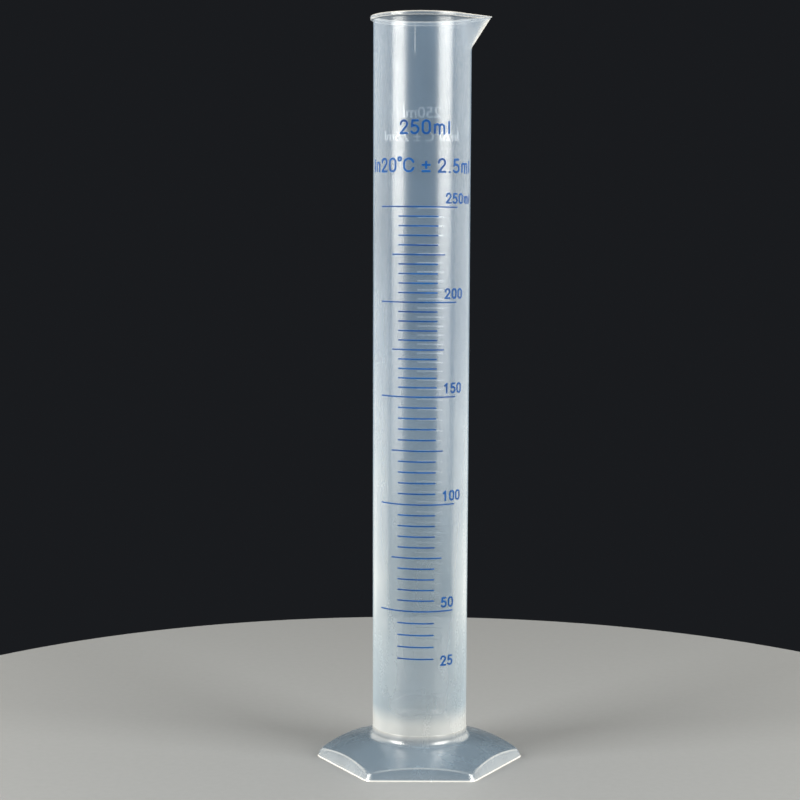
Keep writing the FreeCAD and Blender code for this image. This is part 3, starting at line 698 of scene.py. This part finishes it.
def on_the_back(point, level):
    """A point of a flat mark, wrapped round the back of the tube to read from behind."""
    radius = tube_radius(level) + point.z
    direction = math.radians(90) + point.x / TUBE_RADIUS_TOP
    return Vector((radius * math.cos(direction), radius * math.sin(direction), level + point.y))


def raised_piece(name, mesh):
    """A moulded mark that belongs to the tube, painted pale all over as a highlight."""
    for face in mesh.polygons:
        face.use_smooth = False
    # The colourless relief gets a painted highlight all over, so that it shows pale
    painted_highlight = mesh.attributes.new("painted_highlight", "FLOAT", "POINT")
    painted_highlight.data.foreach_set("value", [RELIEF_HIGHLIGHT] * len(mesh.vertices))
    piece = add_piece(name, mesh)
    piece.data.materials.append(tube_outside)
    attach(piece, BODY)


def raised_text(name, words, height, below_rim):
    """Raised lettering on the back of the tube."""
    line = bpy.data.curves.new(name, "FONT")
    line.body = words
    line.size = height / FONT_CAPITAL
    line.align_x = "CENTER"
    line.extrude = (RELIEF_HEIGHT + RELIEF_ROOT) / 2
    holder = bpy.data.objects.new(name, line)
    bpy.context.scene.collection.objects.link(holder)
    bpy.context.view_layer.update()
    mesh = bpy.data.meshes.new_from_object(holder)
    bpy.data.objects.remove(holder)
    shape = bmesh.new()
    shape.from_mesh(mesh)
    bmesh.ops.remove_doubles(shape, verts=shape.verts, dist=1e-6)
    lift = (RELIEF_HEIGHT - RELIEF_ROOT) / 2
    for vert in shape.verts:
        vert.co = on_the_back(vert.co + Vector((0, 0, lift)), RIM - below_rim)
    bmesh.ops.recalc_face_normals(shape, faces=shape.faces)
    shape.to_mesh(mesh)
    shape.free()
    raised_piece(name, mesh)


def raised_lines(name):
    """The raised copy of the scale's lines, each a bar swept round the back of the tube."""
    shape = bmesh.new()
    level = FIRST_LINE
    scale = (TOP_LINE - FIRST_LINE) / sum(PITCHES)
    for pitch in PITCHES + [0.0]:
        inner = tube_radius(level) - RELIEF_ROOT
        outer = tube_radius(level) + RELIEF_HEIGHT
        corners = []
        for radius, side in ((inner, -1), (outer, -1), (outer, 1), (inner, 1)):
            across = radius * math.cos(RELIEF_LINE_START)
            back = radius * math.sin(RELIEF_LINE_START)
            corners.append(shape.verts.new((across, back, level + side * RELIEF_LINE_HALF)))
        end = shape.faces.new(corners)
        bmesh.ops.spin(
            shape,
            geom=[end],
            cent=(0, 0, 0),
            axis=(0, 0, 1),
            angle=RELIEF_LINE_SWEEP,
            steps=12,
        )
        level += pitch * scale
    bmesh.ops.recalc_face_normals(shape, faces=shape.faces)
    mesh = bpy.data.meshes.new(name)
    shape.to_mesh(mesh)
    shape.free()
    raised_piece(name, mesh)


# Each with the height of its capitals, and how far its foot is below the rim
raised_text("raised_capacity", "250ml", 5.2 * MM, 42.0 * MM)
raised_text("raised_tolerance", "In20\u00b0C \u00b1 2.5ml", 4.4 * MM, 52.4 * MM)
raised_lines("raised_scale")

ink = ink_material()
for name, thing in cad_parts.items():
    if name in ("measuring_tube", "hexagonal_foot"):
        continue
    for slot in thing.material_slots:
        slot.material = ink

# ---------------------------------------------------------------- stage, light and camera

TABLE_RADIUS = 0.30
floor_shape = bmesh.new()
bmesh.ops.create_circle(floor_shape, cap_ends=True, segments=128, radius=TABLE_RADIUS)
floor_mesh = bpy.data.meshes.new("table")
floor_shape.to_mesh(floor_mesh)
floor_shape.free()
table = add_piece("table", floor_mesh)
table.data.materials.append(floor_material())


def softbox(name, azimuth, distance, low, high, width, power, tint):
    """A tall soft light that faces the object's axis, azimuth degrees from the front.

    It reaches from the low height to the high one."""
    light = bpy.data.lights.new(name, "AREA")
    light.shape = "RECTANGLE"
    light.size = width
    light.size_y = high - low
    light.energy = power
    light.color = tint
    lamp = bpy.data.objects.new(name, light)
    bpy.context.scene.collection.objects.link(lamp)
    turn = math.radians(azimuth)
    lamp.location = (distance * math.sin(turn), -distance * math.cos(turn), (low + high) / 2)
    lamp.rotation_euler = (math.radians(90), 0, turn)
    lamp.visible_camera = False


WARM = (1.0, 0.975, 0.90)
SUN = (1.0, 0.93, 0.80)
softbox("front_left", -59, 0.95, 0.22, 1.1, 0.52, 14.5, WARM)
softbox("front_right", 55.5, 0.95, 0.24, 1.1, 0.60, 14.5, WARM)
softbox("front_left_low", -59, 0.95, 0.0, 0.22, 0.52, 1.3, WARM)
softbox("front_right_low", 55.5, 0.95, 0.0, 0.24, 0.60, 1.2, WARM)
softbox("side_left", -118, 1.1, -0.35, 0.9, 1.5, 10.8, SUN)
softbox("side_right", 118, 1.1, -0.35, 0.9, 1.5, 10.8, SUN)

world = bpy.data.worlds.new("studio")
bpy.context.scene.world = world
world.use_nodes = True
backdrop = next(n for n in world.node_tree.nodes if n.type == "BACKGROUND")
backdrop.inputs["Color"].default_value = (0.010, 0.011, 0.013, 1.0)
backdrop.inputs["Strength"].default_value = 1.0

CAMERA_PLACE = Vector((-10.1 * MM, -807.8 * MM, 232.5 * MM))
CAMERA_LENS = 83.15
CAMERA_TURN = math.radians(-0.067)
CAMERA_LEVEL = math.radians(90 - 5.16)
CAMERA_ROLL = math.radians(0.206)
camera_data = bpy.data.cameras.new("view")
camera_data.sensor_width = 36.0
camera_data.lens = CAMERA_LENS
camera_data.clip_start = 0.01
camera_data.clip_end = 20.0
camera = bpy.data.objects.new("view", camera_data)
bpy.context.scene.collection.objects.link(camera)
bpy.context.scene.camera = camera
camera.matrix_world = (
    Matrix.Translation(CAMERA_PLACE)
    @ Matrix.Rotation(CAMERA_TURN, 4, "Z")
    @ Matrix.Rotation(CAMERA_LEVEL, 4, "X")
    @ Matrix.Rotation(CAMERA_ROLL, 4, "Z")
)
bpy.context.scene.view_settings.view_transform = "Standard"
# Enough for every see-through wall on a line through the tube and the foot
bpy.context.scene.cycles.transparent_max_bounces = 24
